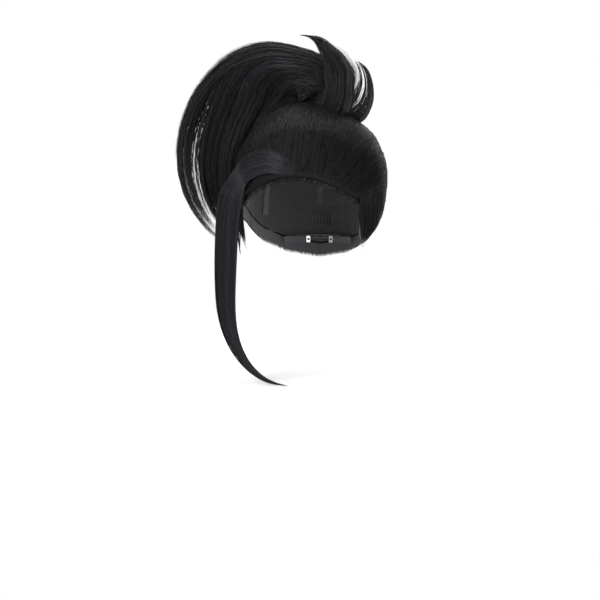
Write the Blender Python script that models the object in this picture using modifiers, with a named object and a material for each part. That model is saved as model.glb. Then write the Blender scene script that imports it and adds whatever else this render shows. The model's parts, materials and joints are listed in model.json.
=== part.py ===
"""Costume wig: a black base wig with one long side lock and a clip-on spiky ponytail.

The origin is the point inside the crown that rests on top of the wearer's head.
-Y is the face side, +X the wearer's left, +Z up. All lengths are in metres.
Angles on the head: "turn" runs round from the face (plus towards the wearer's left),
"drop" runs down from the crown. "Lift" is the distance out from the head's skin.
"""

import math

import bmesh
import bpy
from mathutils import Vector

MM = 0.001

# Head that the wig fits, and the outside of the base hair, as ellipsoids.
HEAD_RADII = Vector((76, 96, 100)) * MM
HEAD_CENTRE = Vector((0, 0, -100)) * MM
HAIR_RADII = Vector((93, 110, 117)) * MM
HAIR_CENTRE = Vector((0, 0, -84)) * MM

# Extra fullness of the side that the hair is not swept to.
SWEPT_VOLUME = 0.42

# Drop of the cap's fixed edge at each turn: hairline, temple, above the ear, nape.
CAP_EDGE = ((0, 65.5), (15, 67), (25, 69.5), (35, 72.5), (45, 76), (58, 82), (72, 87), (86, 92), (98, 96),
            (118, 108), (148, 118), (180, 122))
BAND_DEPTH = 8.6
NET_CLEARANCE = 10.0

# Layers, as lifts from the skin: comb, clip frame and tapes, cap, wefts, hair.
COMB_LIFTS = (0.0 * MM, 0.6 * MM)
FRAME_LIFTS = (0.9 * MM, 1.6 * MM)
TAPE_LIFTS = (0.7 * MM, 1.4 * MM)
PANEL_LIFTS = (2.6 * MM, 3.3 * MM)
WEFT_LIFTS = (4.0 * MM, 4.7 * MM)
HAIR_INNER_LIFT = 5.4 * MM
NET_THICKNESS = 0.6 * MM

# Sectors of base hair, as turns, with a parting gap between neighbours.
FRONT_HALF_TURN = 60
BACK_START_TURN = 118
SECTOR_GAP = 0.8

# Ear tabs.
TAB_TURNS = (62, 82)
TAB_TOP_CLEARANCE = 1.4
TAB_LENGTH = 22

# Ponytail post and the small claw clip that grips it.
ANCHOR = Vector((8, 22, 0)) * MM
ANCHOR_OPENING = 11.5
POST_RADIUS = 9 * MM
POST_BOTTOM = 5 * MM
POST_TOP = 46 * MM
ELASTIC_RADIUS = 10.3 * MM
ELASTIC_HEIGHT = 28 * MM
PIN_HEIGHT = 52 * MM
PIN_RADIUS = 1.6 * MM
JAW_RADIUS = 11.6 * MM
JAW_BOTTOM = 35 * MM
JAW_THICKNESS = 1.4 * MM
DOME_RADIUS = 25.6 * MM

# Adjuster straps run on an arc round a vertical axis behind the middle of the head.
ADJUSTER_AXIS = Vector((0, 34, -135)) * MM
ADJUSTER_RADIUS = 54.6 * MM
ADJUSTER_HALF_HEIGHT = 4 * MM

# Outer, middle and inner sweeps of the ponytail: right, over the top, down the side. Each
# lock's root is added to them, on the net dome in the direction of ROOTS.
OUTER_SWEEP = ((48, 20, 56), (38, 20, 82), (8, 22, 93), (-32, 26, 96), (-80, 34, 89), (-128, 42, 60),
               (-157, 48, 10), (-165, 50, -40), (-156, 48, -88), (-132, 42, -124))
MIDDLE_SWEEP = ((-25, 25, 76), (-48, 29, 73), (-76, 35, 60), (-105, 43, 33), (-127, 49, -3),
                (-135, 52, -41), (-131, 50, -86), (-114, 44, -125))
INNER_SWEEP = ((-37, 27, 43), (-53, 32, 32), (-72, 40, 10), (-86, 45, -11), (-97, 50, -39),
               (-103, 53, -69), (-105, 54, -98), (-101, 52, -130))
ROOTS = {"outer": (32, 0, -10), "middle": (-20, 2, 24), "inner": (-33, 2, -2)}
ROOT_LAYER_SPREAD = 13
ROOT_OFFSET = 2.6 * MM
LAYER_SPACING = 16
LAYER_TIP_SHIFTS = ((2, -6), (0, 0), (-6, 12))

# Short spikes that stand up from the top and the right side of the ponytail, with their roots.
TOP_SPIKE = ((45, -12, 52), (47, -13, 67), (39, -15, 83), (23, -15, 97), (5, -15, 106), (-10, -14, 110))
RIGHT_SPIKE = ((50, 16, 21), (62, 17, 20), (71, 18, 34), (74, 18, 50), (69, 17, 66), (58, 16, 81))
SMALL_SPIKE = ((54, 2, 34), (62, 1, 44), (63, 0, 57), (60, -2, 71))
SPIKE_ROOTS = {"top": (28, -34, -6), "right": (39, -6, -26), "small": (42, -26, -22)}

# Long lock at the wearer's right temple, and the short wisp behind it.
SIDE_LOCK = ((-24, -88, -31), (-50, -83, -40), (-70, -77, -60), (-81, -72, -88), (-85, -69, -125),
             (-87, -67, -170), (-86, -67, -215), (-77, -70, -250), (-57, -78, -278), (-31, -86, -294),
             (-7, -92, -297))
TEMPLE_WISP = ((-69, -60, -78), (-73, -58, -96), (-74, -57, -120), (-71, -57, -148))

FIBRE = ((0.014, 0.014, 0.017), 0.38, 0.0)
NET = ((0.02, 0.02, 0.022), 0.8, 0.0)
WEFT_TAPE = ((0.03, 0.03, 0.033), 0.75, 0.0)
ELASTIC = ((0.05, 0.05, 0.055), 0.7, 0.0)
SKIN_FILM = ((0.42, 0.31, 0.24), 0.55, 0.0)
STEEL = ((0.62, 0.62, 0.63), 0.28, 1.0)
BLACK_STEEL = ((0.05, 0.05, 0.05), 0.35, 0.9)
PLASTIC = ((0.025, 0.025, 0.03), 0.3, 0.0)


def clear_scene():
    for old in list(bpy.data.objects):
        bpy.data.objects.remove(old, do_unlink=True)


def new_material(name, finish):
    colour, roughness, metallic = finish
    material = bpy.data.materials.new(name + "_finish")
    material.use_nodes = True
    shader = material.node_tree.nodes["Principled BSDF"]
    shader.inputs["Base Color"].default_value = (*colour, 1.0)
    shader.inputs["Roughness"].default_value = roughness
    shader.inputs["Metallic"].default_value = metallic
    return material


def add_pivot(name, location):
    """Empty on a joint axis, which the moving pieces hang from."""
    pivot = bpy.data.objects.new(name, None)
    pivot.empty_display_size = 0.02
    pivot.location = location
    COLLECTION.objects.link(pivot)
    return pivot


def add_piece(name, bm, finish, pivot=None, smooth=True):
    """Turns a bmesh in world coordinates into an object, with its origin on its pivot."""
    origin = pivot.location.copy() if pivot else Vector()
    bmesh.ops.translate(bm, verts=bm.verts, vec=-origin)
    bmesh.ops.recalc_face_normals(bm, faces=bm.faces)
    mesh = bpy.data.meshes.new(name)
    bm.to_mesh(mesh)
    bm.free()
    piece = bpy.data.objects.new(name, mesh)
    piece.data.materials.append(new_material(name, finish))
    COLLECTION.objects.link(piece)
    if pivot:
        piece.parent = pivot
    if smooth:
        mesh.shade_smooth()
        mesh.set_sharp_from_angle(angle=math.radians(40))
    return piece


def mix(low, high, part):
    return low + (high - low) * part


def smoothstep(low, high, value):
    part = min(max((value - low) / (high - low), 0.0), 1.0)
    return part * part * (3 - 2 * part)


def read_curve(points, value):
    """Value on a line of straight steps through (x, y) points."""
    for (x0, y0), (x1, y1) in zip(points, points[1:]):
        if value <= x1:
            return mix(y0, y1, (value - x0) / (x1 - x0))
    return points[-1][1]


def direction(turn, drop):
    """Unit direction at a turn and a drop, both in degrees."""
    t = math.radians(turn)
    d = math.radians(drop)
    return Vector((math.sin(d) * math.sin(t), -math.sin(d) * math.cos(t), math.cos(d)))


def on_head(way, lift):
    """Point at a lift above the head's skin, along the skin's normal."""
    surface = Vector(r * w for r, w in zip(HEAD_RADII, way))
    normal = Vector(w / r for r, w in zip(HEAD_RADII, way)).normalized()
    return HEAD_CENTRE + surface + normal * lift


def on_hair(way):
    """Point on the outside of the base hair."""
    return HAIR_CENTRE + Vector(r * w for r, w in zip(HAIR_RADII, way))


def cap_edge(turn):
    """Drop of the cap's edge, the same on both sides of the head."""
    folded = abs((turn + 180) % 360 - 180)
    return read_curve(CAP_EDGE, folded)


def slerp(start, end, part):
    angle = start.angle(end)
    return (start * math.sin((1 - part) * angle) + end * math.sin(part * angle)) / math.sin(angle)


def anchor_way():
    """Direction of the ponytail post from the middle of the head."""
    x = ANCHOR.x / HEAD_RADII.x
    y = ANCHOR.y / HEAD_RADII.y
    return Vector((x, y, math.sqrt(1 - x * x - y * y)))


def combed_way(turn, part):
    """Direction along a line of hair, combed from the cap's edge (0) to the ponytail (1)."""
    start = direction(turn, cap_edge(turn))
    end = anchor_way()
    reach = 1 - math.radians(ANCHOR_OPENING) / start.angle(end)
    return slerp(start, end, part * reach)


def mapped_block(name, columns, rows, place, finish, pivot=None, keep=None):
    """Solid from a grid of cells; place(u, v, w) gives a point, with w 0 inside and 1 outside."""
    bm = bmesh.new()
    bmesh.ops.create_grid(bm, x_segments=columns, y_segments=rows, size=0.5)
    if keep:
        dropped = []
        for face in bm.faces:
            middle = face.calc_center_median()
            if not keep(int((middle.x + 0.5) * columns), int((middle.y + 0.5) * rows)):
                dropped.append(face)
        bmesh.ops.delete(bm, geom=dropped, context="FACES")
    inner = set(bm.verts)
    bmesh.ops.extrude_face_region(bm, geom=list(bm.faces), use_keep_orig=True)
    for vert in bm.verts:
        w = 0.0 if vert in inner else 1.0
        vert.co = place(vert.co.x + 0.5, vert.co.y + 0.5, w)
    return add_piece(name, bm, finish, pivot)


def head_patch(name, turns, drops, lifts, columns, rows, finish, pivot=None, keep=None):
    """Patch that follows the head; drops may be numbers or functions of the turn."""
    def drop_at(edge, turn):
        return edge(turn) if callable(edge) else edge

    def place(u, v, w):
        turn = mix(turns[0], turns[1], u)
        drop = mix(drop_at(drops[0], turn), drop_at(drops[1], turn), v)
        return on_head(direction(turn, drop), mix(lifts[0], lifts[1], w))
    return mapped_block(name, columns, rows, place, finish, pivot, keep)


def dome(name, around, down, place, thickness, finish, pivot=None):
    """Open dome with Solidify; place(turn, part) gives a point, part 0 at the top, 1 at the edge."""
    bm = bmesh.new()
    bmesh.ops.create_uvsphere(bm, u_segments=around, v_segments=2 * down, radius=1.0)
    below = [vert for vert in bm.verts if vert.co.z < -0.001]
    bmesh.ops.delete(bm, geom=below, context="VERTS")
    for vert in bm.verts:
        turn = math.degrees(math.atan2(vert.co.x, -vert.co.y))
        part = math.acos(min(max(vert.co.z, -1.0), 1.0)) / (math.pi / 2)
        vert.co = place(turn, part)
    piece = add_piece(name, bm, finish, pivot)
    shell = piece.modifiers.new("thickness", "SOLIDIFY")
    shell.thickness = thickness
    shell.offset = 0.0
    return piece


def cylinder(name, radius, bottom, top, finish, pivot=None, sides=24, inner_radius=None):
    """Upright post between two points, or a ring when it has an inner radius."""
    bm = bmesh.new()
    bmesh.ops.create_cone(bm, cap_ends=inner_radius is None, segments=sides, radius1=radius, radius2=radius,
                          depth=top.z - bottom.z)
    if inner_radius is not None:
        outer = set(bm.verts)
        bmesh.ops.extrude_face_region(bm, geom=list(bm.faces), use_keep_orig=True)
        for vert in bm.verts:
            if vert not in outer:
                vert.co.x *= inner_radius / radius
                vert.co.y *= inner_radius / radius
    bmesh.ops.translate(bm, verts=bm.verts, vec=(bottom + top) / 2)
    return add_piece(name, bm, finish, pivot)


def smooth_path(points, count):
    """Catmull-Rom curve through points in millimetres, as evenly spaced points in metres."""
    knots = [Vector(p) * MM for p in points]
    knots = [2 * knots[0] - knots[1]] + knots + [2 * knots[-1] - knots[-2]]
    fine = []
    for a, b, c, d in zip(knots, knots[1:], knots[2:], knots[3:]):
        for step in range(16):
            t = step / 16
            fine.append(0.5 * (2 * b + (c - a) * t + (2 * a - 5 * b + 4 * c - d) * t ** 2
                               + (3 * b - a - 3 * c + d) * t ** 3))
    fine.append(knots[-2])
    lengths = [0.0]
    for a, b in zip(fine, fine[1:]):
        lengths.append(lengths[-1] + (b - a).length)
    path = []
    index = 0
    for step in range(count):
        wanted = lengths[-1] * step / (count - 1)
        while index < len(fine) - 2 and lengths[index + 1] < wanted:
            index += 1
        part = (wanted - lengths[index]) / (lengths[index + 1] - lengths[index])
        path.append(fine[index].lerp(fine[index + 1], part))
    return path


def hair_lock(name, points, width, depth, rings, pivot, root=0.28, sides=8):
    """Lock of hair: oval rings that swell from the root, taper, and end in a single point."""
    path = smooth_path(points, rings + 1)
    depth_axis = Vector((0, 1, 0))
    bm = bmesh.new()
    ring = bmesh.ops.create_circle(bm, cap_ends=True, segments=sides, radius=1.0)["verts"]
    unit = [vert.co.copy() for vert in ring]
    for index in range(rings):
        part = index / rings
        ahead = (path[index + 1] - path[max(index - 1, 0)]).normalized()
        deep = (depth_axis - ahead * depth_axis.dot(ahead)).normalized()
        across = deep.cross(ahead)
        size = mix(root, 1.0, smoothstep(0.0, 0.22, part)) * (1 - smoothstep(0.4, 1.08, part))
        if index:
            edges = {edge for vert in ring for edge in vert.link_edges
                     if edge.verts[0] in ring and edge.verts[1] in ring}
            grown = bmesh.ops.extrude_edge_only(bm, edges=list(edges))["geom"]
            grown = [item for item in grown if isinstance(item, bmesh.types.BMVert)]
            ring = [min(grown, key=lambda v, old=old: (v.co - old.co).length) for old in ring]
        for vert, flat in zip(ring, unit):
            vert.co = path[index] + across * (flat.x * width * size) + deep * (flat.y * depth * size)
    edges = {edge for vert in ring for edge in vert.link_edges
             if edge.verts[0] in ring and edge.verts[1] in ring}
    grown = bmesh.ops.extrude_edge_only(bm, edges=list(edges))["geom"]
    tip = [item for item in grown if isinstance(item, bmesh.types.BMVert)]
    bmesh.ops.pointmerge(bm, verts=tip, merge_co=path[rings])
    return add_piece(name, bm, FIBRE, pivot)


def build_cap():
    """Net dome, bands round its edge, tapes inside and rows of weft outside."""
    def net_point(turn, part):
        drop = part * (cap_edge(turn) - NET_CLEARANCE)
        return on_head(direction(turn, drop), PANEL_LIFTS[0] + NET_THICKNESS / 2)

    def band_top(turn):
        return cap_edge(turn) - BAND_DEPTH

    dome("crown_net", 36, 9, net_point, NET_THICKNESS, NET)
    head_patch("front_band", (-57, 57), (band_top, cap_edge), PANEL_LIFTS, 16, 2, SKIN_FILM)
    head_patch("nape_band", (106, 254), (band_top, cap_edge), PANEL_LIFTS, 18, 2, ELASTIC)
    for side, sign in (("left", 1), ("right", -1)):
        head_patch("ear_arch_" + side, (sign * 58, sign * 105), (band_top, cap_edge), PANEL_LIFTS, 8, 2,
                   ELASTIC)
        head_patch("side_tape_" + side, (sign * 122, sign * 128), (14, 92), TAPE_LIFTS, 1, 9, ELASTIC)
    head_patch("spine_tape", (177, 183), (14, 84), TAPE_LIFTS, 1, 9, ELASTIC)
    for row, (drop, half_width) in enumerate(((38, 118), (54, 112), (70, 102), (86, 88), (102, 66)), 1):
        head_patch("weft_row_%d" % row, (180 - half_width, 180 + half_width), (drop, drop + 2.2), WEFT_LIFTS,
                   22, 1, WEFT_TAPE)
    cylinder("crown_patch", 11 * MM, Vector((0, 0, 0)), Vector((0, 0, 1.2 * MM)), SKIN_FILM, sides=28)


def fullness(turn, part):
    """How far the hair fills from its inner surface to the full outside, 0 to 1."""
    folded = abs((turn + 180) % 360 - 180)
    at_edge = mix(0.12, 0.55, smoothstep(40, 85, folded))
    swept = smoothstep(45, 85, turn) * (1 - smoothstep(125, 165, turn)) * (1 - smoothstep(0.45, 0.8, part))
    return mix(at_edge, 1.0, smoothstep(0.0, 0.32, part)) * (1 + SWEPT_VOLUME * swept)


def hair_surface(turn, part):
    """Point on the outside of the base hair, along a combed line."""
    way = combed_way(turn, part)
    return on_head(way, HAIR_INNER_LIFT).lerp(on_hair(way), fullness(turn, part))


def build_base_hair():
    """Four sectors of hair, combed from the cap's edge up to the ponytail."""
    sectors = (("front_hair", -FRONT_HALF_TURN, FRONT_HALF_TURN, 16),
               ("side_hair_left", FRONT_HALF_TURN, BACK_START_TURN, 9),
               ("side_hair_right", -BACK_START_TURN, -FRONT_HALF_TURN, 9),
               ("back_hair", BACK_START_TURN, 360 - BACK_START_TURN, 16))
    for name, start, end, columns in sectors:
        def place(u, v, w, start=start, end=end):
            turn = mix(start + SECTOR_GAP, end - SECTOR_GAP, u)
            way = combed_way(turn, v)
            inner = on_head(way, HAIR_INNER_LIFT)
            return inner.lerp(on_hair(way), w * fullness(turn, v))
        mapped_block(name, columns, 11, place, FIBRE)


def tab_bottom(turn):
    """Drop of an ear tab's lower edge: a rounded tongue."""
    middle = (TAB_TURNS[0] + TAB_TURNS[1]) / 2
    half = (TAB_TURNS[1] - TAB_TURNS[0]) / 2
    across = (abs(turn) - middle) / half
    return cap_edge(middle) + TAB_LENGTH * math.sqrt(max(1 - 0.55 * across * across, 0.0))


def tab_hinge(sign):
    """Ends of the line that an ear tab flexes about, just below the ear arch."""
    lift = PANEL_LIFTS[0]
    ends = []
    for turn in sorted(sign * t for t in TAB_TURNS):
        ends.append(on_head(direction(turn, cap_edge(turn) + TAB_TOP_CLEARANCE / 2), lift))
    return ends


def build_ear_tab(side, sign):
    """Flexible tongue in front of the ear, its steel stay, and the sideburn hair on it."""
    first, last = tab_hinge(sign)
    pivot = add_pivot("ear_tab_hinge_" + side, (first + last) / 2)
    turns = tuple(sign * t for t in TAB_TURNS)

    def top(turn):
        return cap_edge(turn) + TAB_TOP_CLEARANCE

    def hair_top(turn):
        return cap_edge(turn) + 2 * TAB_TOP_CLEARANCE

    def hair_place(u, v, w):
        turn = mix(turns[0], turns[1], u)
        drop = mix(hair_top(turn), tab_bottom(turn) + 3, v)
        swell = 1.2 + 4.6 * math.sin(math.pi * min(v + 0.12, 1.0)) * math.sin(math.pi * mix(0.14, 0.86, u))
        return on_head(direction(turn, drop), WEFT_LIFTS[0] + w * swell * MM)

    head_patch("ear_tab_" + side, turns, (top, tab_bottom), PANEL_LIFTS, 6, 5, ELASTIC, pivot)
    stay_turns = (sign * 71.2, sign * 72.8)
    head_patch("ear_stay_" + side, stay_turns, (cap_edge(72) + 3, tab_bottom(72) - 3), FRAME_LIFTS, 1, 5,
               STEEL, pivot)
    mapped_block("sideburn_hair_" + side, 6, 6, hair_place, FIBRE, pivot)


def build_snap_clip(place_name, turn, spine_drop, half_turn, tooth_length):
    """Snap comb sewn inside the cap: a fixed frame, and a toothed comb that swings inwards."""
    hinge = on_head(direction(turn, spine_drop), COMB_LIFTS[0])
    pivot = add_pivot(place_name + "_clip_hinge", hinge)
    turns = (turn - half_turn, turn + half_turn)
    columns = 11
    head_patch(place_name + "_clip_frame", turns, (spine_drop - 2.4, spine_drop), FRAME_LIFTS, 5, 1,
               BLACK_STEEL)

    def keep(column, row):
        return row >= 3 or column % 2 == 0

    head_patch(place_name + "_clip_comb", turns, (spine_drop - tooth_length, spine_drop), COMB_LIFTS,
               columns, 4, BLACK_STEEL, pivot, keep)


def arc_strap(name, angles, radii, heights, columns, finish, pivot=None, keep=None):
    """Upright strap on an arc round the adjusters' vertical axis; angles are from the back."""
    def place(u, v, w):
        angle = math.radians(mix(angles[0], angles[1], u))
        radius = mix(radii[0], radii[1], w)
        height = mix(heights[0], heights[1], v)
        return ADJUSTER_AXIS + Vector((radius * math.sin(angle), radius * math.cos(angle), height))
    return mapped_block(name, columns, 3, place, finish, pivot, keep)


def build_adjusters():
    """Two elastic straps with hooks at the nape, and the tape of loops that they hook to."""
    inside = (ADJUSTER_RADIUS, ADJUSTER_RADIUS + 0.8 * MM)
    heights = (-ADJUSTER_HALF_HEIGHT, ADJUSTER_HALF_HEIGHT)
    for side, sign in (("left", 1), ("right", -1)):
        pivot = add_pivot("adjuster_axis_" + side, ADJUSTER_AXIS)
        arc_strap("adjuster_strap_" + side, (sign * 18, sign * 50), inside, heights, 8, ELASTIC, pivot)

        def keep(column, row):
            return row != 1 or column in (0, 4)
        arc_strap("adjuster_hook_" + side, (sign * 12.6, sign * 17.6), inside, heights, 5, STEEL, pivot, keep)
    loops = (ADJUSTER_RADIUS + 1.4 * MM, ADJUSTER_RADIUS + 2.1 * MM)

    def loop_keep(column, row):
        return row != 1 or column % 3 == 0
    arc_strap("adjuster_loop_tape", (-29, 29), loops, (1 * MM, 6 * MM), 16, ELASTIC, None, loop_keep)


def build_anchor():
    """Short bound post of hair on the crown, and the elastic that binds it."""
    pivot = add_pivot("ponytail_turn_axis", ANCHOR)
    foot = ANCHOR + Vector((0, 0, POST_BOTTOM))
    head = ANCHOR + Vector((0, 0, POST_TOP))
    cylinder("ponytail_post", POST_RADIUS, foot, head, FIBRE, pivot)
    low = ANCHOR + Vector((0, 0, ELASTIC_HEIGHT))
    high = low + Vector((0, 0, 5 * MM))
    cylinder("post_elastic", ELASTIC_RADIUS, low, high, ELASTIC, pivot, inner_radius=POST_RADIUS + 0.3 * MM)


def jaw_point(sign):
    """Shape of one jaw: a toothed half ring below, closing to a flat plate beside the pin."""
    def place(u, v, w):
        angle = math.radians(mix(-66, 66, u))
        radius = JAW_RADIUS + w * JAW_THICKNESS
        closing = smoothstep(0.5, 1.0, v)
        x = mix(radius * math.sin(angle), mix(-9, 9, u) * MM, closing)
        y = mix(radius * math.cos(angle), 2.4 * MM + w * JAW_THICKNESS, closing)
        z = mix(JAW_BOTTOM, PIN_HEIGHT + 1 * MM, v) + w * closing * 0.5 * MM
        return ANCHOR + Vector((x, sign * y, z))
    return place


def jaw_keep(column, row):
    """Teeth on the two lowest rows, and a notch for the spring in the top one."""
    if row < 2:
        return column % 2 == 0
    return row < 5 or column < 3 or column > 7


def build_claw(ponytail):
    """Small claw clip inside the ponytail: two jaws, a pin and a coil spring."""
    pin_centre = ANCHOR + Vector((0, 0, PIN_HEIGHT))
    hinge = add_pivot("claw_hinge", pin_centre)
    mapped_block("claw_front_jaw", 11, 6, jaw_point(-1), PLASTIC, ponytail, jaw_keep)
    mapped_block("claw_rear_jaw", 11, 6, jaw_point(1), PLASTIC, hinge, jaw_keep)
    bm = bmesh.new()
    bmesh.ops.create_cone(bm, cap_ends=True, segments=12, radius1=PIN_RADIUS, radius2=PIN_RADIUS,
                          depth=21 * MM)
    for vert in bm.verts:
        vert.co = pin_centre + Vector((vert.co.z, vert.co.y, vert.co.x))
    add_piece("claw_pin", bm, STEEL, ponytail)
    build_spring(pin_centre, ponytail)


def build_spring(centre, pivot):
    """Coil of wire round the pin, as a poly curve with a round bevel."""
    coils = 4
    steps = 10
    reach = 5.2 * MM
    radius = 2.5 * MM
    curve = bpy.data.curves.new("claw_spring", "CURVE")
    curve.dimensions = "3D"
    curve.bevel_depth = 0.4 * MM
    curve.bevel_resolution = 0
    curve.use_fill_caps = True
    line = curve.splines.new("POLY")
    line.points.add(coils * steps)
    for index, point in enumerate(line.points):
        part = index / (coils * steps)
        angle = 2 * math.pi * coils * part
        x = mix(-reach / 2, reach / 2, part)
        spot = centre - pivot.location + Vector((x, radius * math.sin(angle), radius * math.cos(angle)))
        point.co = (*spot, 1.0)
    spring = bpy.data.objects.new("claw_spring", curve)
    spring.data.materials.append(new_material("claw_spring", STEEL))
    COLLECTION.objects.link(spring)
    spring.parent = pivot


def dome_root(centre, way):
    """Point in millimetres just outside the net dome, in a direction from its middle."""
    return tuple((centre + Vector(way).normalized() * (DOME_RADIUS + ROOT_OFFSET)) / MM)


def sweep_layer(points, layer):
    """One depth layer of a sweep; the tip drifts a little so that the ends don't line up."""
    shift_x, shift_z = LAYER_TIP_SHIFTS[layer]
    moved = []
    for index, (x, y, z) in enumerate(points):
        late = (index / (len(points) - 1)) ** 3
        moved.append((x + shift_x * late, y + (layer - 1) * LAYER_SPACING, z + shift_z * late))
    return moved


def build_ponytail():
    """Hairpiece that clips onto the post: net dome, swept locks and short spikes."""
    centre = ANCHOR + Vector((0, 0, PIN_HEIGHT))
    pivot = add_pivot("ponytail_slide", centre)

    def net_point(turn, part):
        return centre + direction(turn, part * 129) * DOME_RADIUS

    dome("ponytail_net", 24, 8, net_point, NET_THICKNESS, NET, pivot)
    build_claw(pivot)
    sweeps = (
        ("outer", OUTER_SWEEP, 8.5, 15),
        ("middle", MIDDLE_SWEEP, 8.5, 12),
        ("inner", INNER_SWEEP, 10, 12),
    )
    for sweep_name, points, width, rings in sweeps:
        for layer, layer_name in enumerate(("front", "middle", "back")):
            way = Vector(ROOTS[sweep_name]) + Vector((0, (layer - 1) * ROOT_LAYER_SPREAD, 0))
            path = [dome_root(centre, way)] + sweep_layer(points, layer)
            hair_lock("%s_fall_%s" % (sweep_name, layer_name), path, width * MM, 6.8 * MM, rings, pivot)
    spikes = (
        ("top", TOP_SPIKE, 8, 5, 10),
        ("right", RIGHT_SPIKE, 4.5, 5, 10),
        ("small", SMALL_SPIKE, 3.6, 3.6, 8),
    )
    for spike_name, points, width, depth, rings in spikes:
        path = [dome_root(centre, SPIKE_ROOTS[spike_name])] + list(points)
        hair_lock(spike_name + "_spike", path, width * MM, depth * MM, rings, pivot)


def build_side_lock():
    """Long tapering lock that hangs from a sewn weft at the right temple."""
    root = Vector(SIDE_LOCK[0]) * MM
    pivot = add_pivot("side_lock_hinge", root)
    hair_lock("side_lock", SIDE_LOCK, 10.5 * MM, 4.8 * MM, 18, pivot)
    hair_lock("temple_wisp", TEMPLE_WISP, 2.6 * MM, 2.2 * MM, 7, pivot)

    def weft_place(u, v, w):
        outside = hair_surface(mix(-26, -10, u), mix(0.13, 0.16, v))
        return outside + (outside - HAIR_CENTRE).normalized() * mix(0.7, 1.3, w) * MM
    mapped_block("side_lock_weft", 5, 1, weft_place, WEFT_TAPE)


COLLECTION = bpy.data.collections.new("costume_wig")


def main():
    clear_scene()
    bpy.context.scene.collection.children.link(COLLECTION)
    build_cap()
    build_base_hair()
    for side, sign in (("left", 1), ("right", -1)):
        build_ear_tab(side, sign)
    build_snap_clip("left_temple", 38, 69, 9.5, 8.5)
    build_snap_clip("right_temple", -38, 69, 9.5, 8.5)
    build_snap_clip("nape", 180, 101, 8.5, 8.5)
    build_adjusters()
    build_anchor()
    build_ponytail()
    build_side_lock()


main()
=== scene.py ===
"""Looks of the costume wig: fibres, cap fabrics, clips, floor, light and camera.

Angles are in degrees and follow the CAD source: "turn" runs round from the face, plus towards
the wearer's left, and "drop" runs down from the crown. A "part" runs along a combed line, from
the cap's edge (0) to the ring round the post (1). Lengths are in metres unless they are
multiplied by MM. Curves are arrays of (strand, point, xyz).
"""

import json
import math

import bpy
import numpy as np
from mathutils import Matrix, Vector


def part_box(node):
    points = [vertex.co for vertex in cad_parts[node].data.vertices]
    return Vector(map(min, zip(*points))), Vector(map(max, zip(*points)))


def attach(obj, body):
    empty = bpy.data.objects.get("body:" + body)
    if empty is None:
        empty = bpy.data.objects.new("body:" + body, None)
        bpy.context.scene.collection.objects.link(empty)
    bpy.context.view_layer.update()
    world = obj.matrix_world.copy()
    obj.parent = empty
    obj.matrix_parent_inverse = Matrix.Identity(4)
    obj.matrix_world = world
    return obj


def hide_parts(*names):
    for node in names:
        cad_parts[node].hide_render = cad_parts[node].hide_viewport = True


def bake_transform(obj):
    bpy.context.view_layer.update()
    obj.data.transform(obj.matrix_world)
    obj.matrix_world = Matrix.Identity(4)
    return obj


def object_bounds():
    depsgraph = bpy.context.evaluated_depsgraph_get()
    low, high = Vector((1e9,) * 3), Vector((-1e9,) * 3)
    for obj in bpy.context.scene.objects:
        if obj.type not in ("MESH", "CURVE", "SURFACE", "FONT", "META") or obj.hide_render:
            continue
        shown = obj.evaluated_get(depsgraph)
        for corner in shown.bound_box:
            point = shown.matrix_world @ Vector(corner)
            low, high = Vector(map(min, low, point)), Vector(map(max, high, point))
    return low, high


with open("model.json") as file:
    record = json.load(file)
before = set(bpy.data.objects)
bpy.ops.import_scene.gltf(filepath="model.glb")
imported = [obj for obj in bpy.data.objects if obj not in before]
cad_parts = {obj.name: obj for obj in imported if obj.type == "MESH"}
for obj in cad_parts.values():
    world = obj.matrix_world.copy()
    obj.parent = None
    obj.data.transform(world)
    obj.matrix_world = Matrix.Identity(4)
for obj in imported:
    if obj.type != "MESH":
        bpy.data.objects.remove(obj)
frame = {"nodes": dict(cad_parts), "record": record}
CAD_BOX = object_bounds()
MM = 0.001

# The head and the outside of the base hair, as ellipsoids, the same as in the CAD.
HEAD_RADII = np.array([76, 96, 100]) * MM
HEAD_CENTRE = np.array([0, 0, -100]) * MM
HAIR_RADII = np.array([93, 110, 117]) * MM
HAIR_CENTRE = np.array([0, 0, -84]) * MM
CAP_EDGE_TURNS = (0, 15, 25, 35, 45, 58, 72, 86, 98, 118, 148, 180)
CAP_EDGE_DROPS = (65.5, 67, 69.5, 72.5, 76, 82, 87, 92, 96, 108, 118, 122)
# The inside of the base hair, over the head.
HAIR_INNER_LIFT = 5.4 * MM
# Extra fullness of the side that the hair is not swept to.
SWEPT_VOLUME = 0.42
# Half angle of the ring round the post, where the combed lines end.
ANCHOR_OPENING = 11.5
FRONT_HALF_TURN = 60
BACK_START_TURN = 118
# Steps along a curve between two knots, before it is spaced evenly.
KNOT_STEPS = 12


def box_centre(node):
    low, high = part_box(node)
    return np.array((low + high) / 2)


POST_CENTRE = box_centre("ponytail_post")
DOME_CENTRE = box_centre("claw_pin")
DOME_RADIUS = (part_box("ponytail_net")[1].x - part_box("ponytail_net")[0].x) / 2


# ---- numbers and curves

def smoothstep(low, high, value):
    part = np.clip((value - low) / (high - low), 0.0, 1.0)
    return part * part * (3 - 2 * part)


def mix(low, high, part):
    return low + (high - low) * part


def unit(vectors):
    return vectors / np.maximum(np.linalg.norm(vectors, axis=-1, keepdims=True), 1e-12)


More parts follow.
